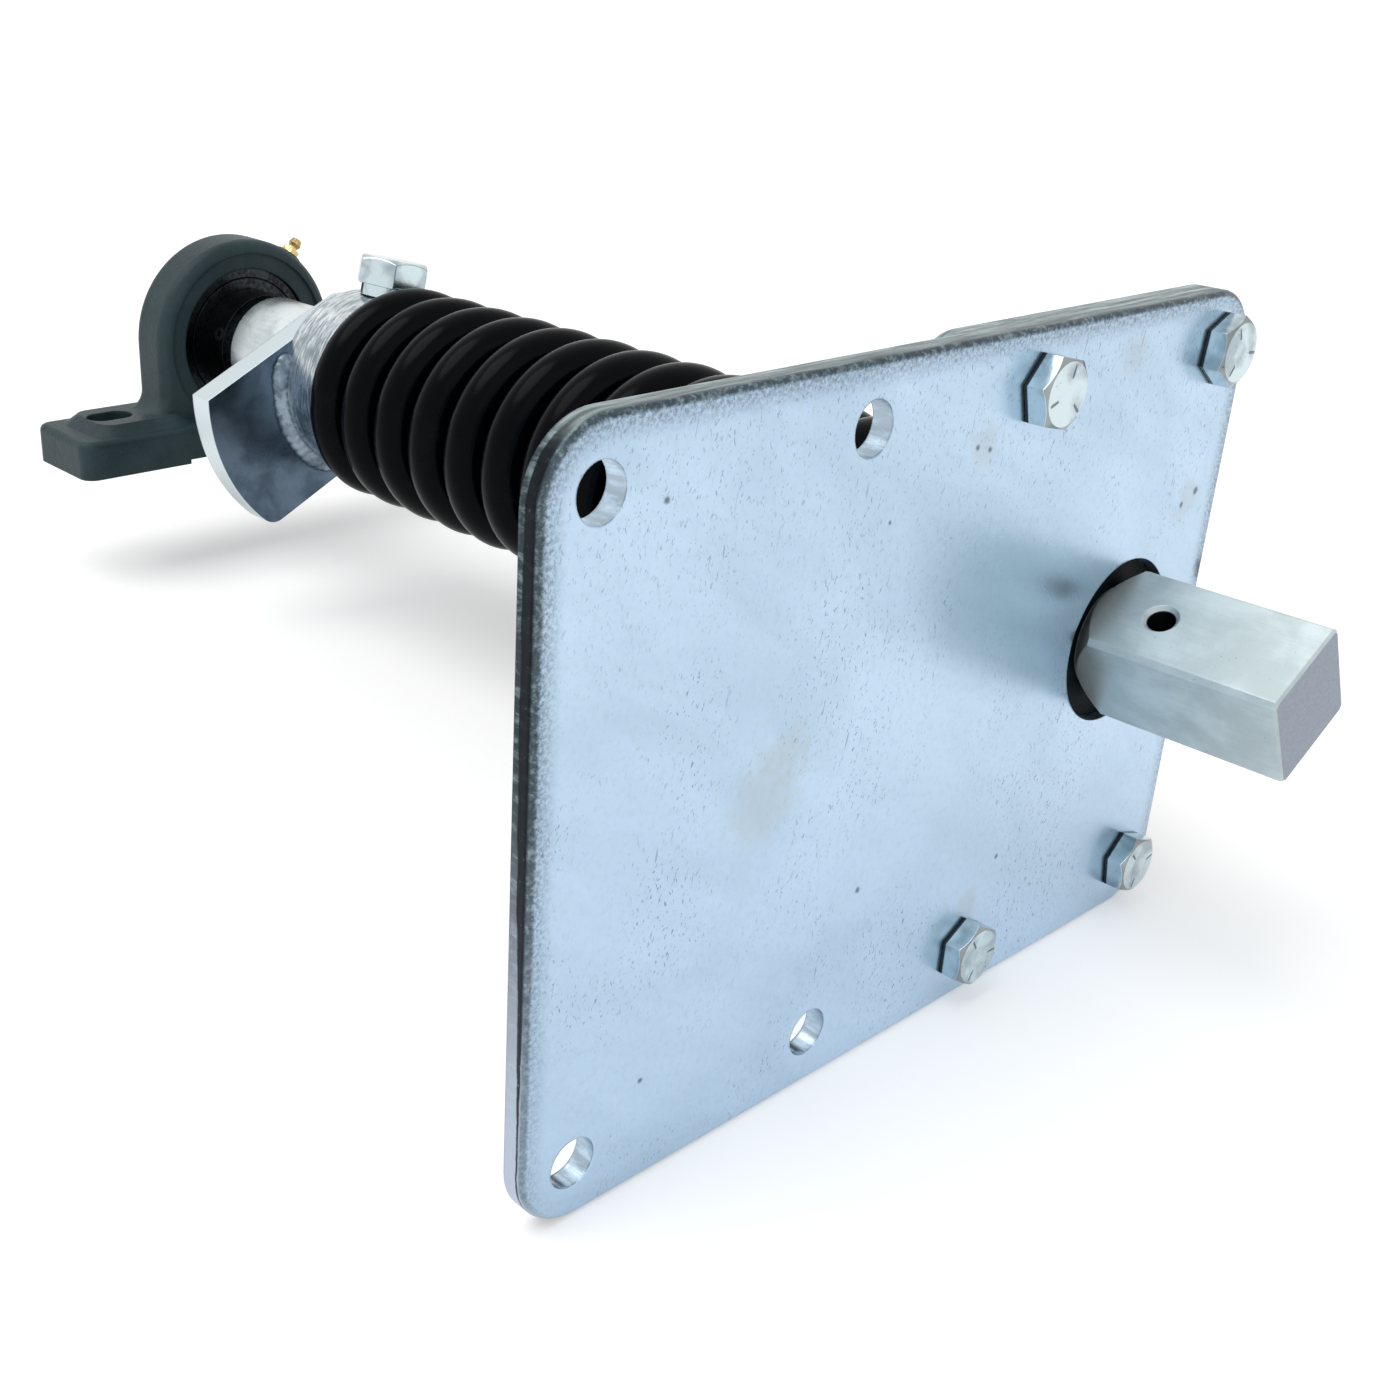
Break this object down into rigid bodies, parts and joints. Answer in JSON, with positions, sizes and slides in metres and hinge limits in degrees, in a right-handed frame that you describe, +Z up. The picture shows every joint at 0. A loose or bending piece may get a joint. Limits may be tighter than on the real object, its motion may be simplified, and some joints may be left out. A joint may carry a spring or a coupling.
{
  "type": "tarp arm torsion spring",
  "caption": "Heavy torsion spring round a square-ended shaft, between a bolted mounting plate and a bearing block, with a welded lever plate.",
  "frame": {"origin": "on the shaft axis, in the outer face of the main mounting plate", "axes": "+Y runs along the shaft from the plate to the bearing block; +Z is up, away from the bearing block's foot; +X is to the right seen from the square end"},
  "size_m": [0.3302, 0.5785, 0.2032],
  "materials": {
    "zinc_plate": "bright zinc, glossy, lightly scratched and stained",
    "bare_steel": "dark machined steel, satin",
    "weld_metal": "rippled weld bead, bright",
    "black_nylon": "moulded nylon, matt",
    "zinc_fasteners": "zinc plated, satin",
    "spring_coat": "gloss black powder coat, slight orange peel",
    "shaft_steel": "cold drawn bar, light, lengthwise drawing lines",
    "lever_steel": "flame cut plate, blue grey with bright cut edges",
    "sleeve_steel": "dark oiled tube",
    "housing_paint": "dark green grey machine enamel on a casting",
    "bearing_steel": "ground bearing steel",
    "cage_steel": "pressed steel",
    "seal_rubber": "moulded black rubber",
    "screw_steel": "black oxide",
    "nipple_brass": "yellow zinc look, dulled"
  },
  "bodies": {
    "mount_side": {"main_plate": "zinc_plate", "backing_plate": "zinc_plate", "hub_tube": "bare_steel", "hub_weld": "weld_metal", "shaft_bushing": "black_nylon", "plate_bolts": "zinc_fasteners", "plate_washers": "zinc_fasteners", "plate_lock_washers": "zinc_fasteners", "plate_nuts": "zinc_fasteners", "torsion_spring": "spring_coat", "front_spring_weld": "weld_metal", "bearing_housing": "housing_paint", "bearing_outer_ring": "bearing_steel", "front_seal": "seal_rubber", "rear_seal": "seal_rubber", "grease_nipple": "nipple_brass"},
    "drive_side": {"drive_shaft": "shaft_steel", "tension_collar": "bare_steel", "rear_spring_weld": "weld_metal", "tension_plate": "lever_steel", "tension_plate_weld": "weld_metal", "set_bolt": "zinc_fasteners", "set_bolt_lock_washer": "zinc_fasteners", "spacer_sleeve": "sleeve_steel", "bearing_inner_ring": "bearing_steel", "front_flinger": "bearing_steel", "rear_flinger": "bearing_steel", "bearing_set_screws": "screw_steel"},
    "ball_cage": {"bearing_balls": "bearing_steel", "bearing_cage": "cage_steel"}
  },
  "joints": [
    {"name": "arm_swing", "type": "hinge", "parent": "mount_side", "child": "drive_side", "pos_m": [0, 0, 0], "axis": [0, -1, 0], "range_deg": [0, 120], "stiffness_Nm_per_rad": 378, "deforming": ["torsion_spring"]},
    {"name": "cage_turn", "type": "hinge", "parent": "mount_side", "child": "ball_cage", "pos_m": [0, 0.49101, 0], "axis": [0, -1, 0], "range_deg": [0, 48]}
  ],
  "couplings": [
    {"joint": "cage_turn", "follows": "arm_swing", "ratio": 0.397}
  ]
}
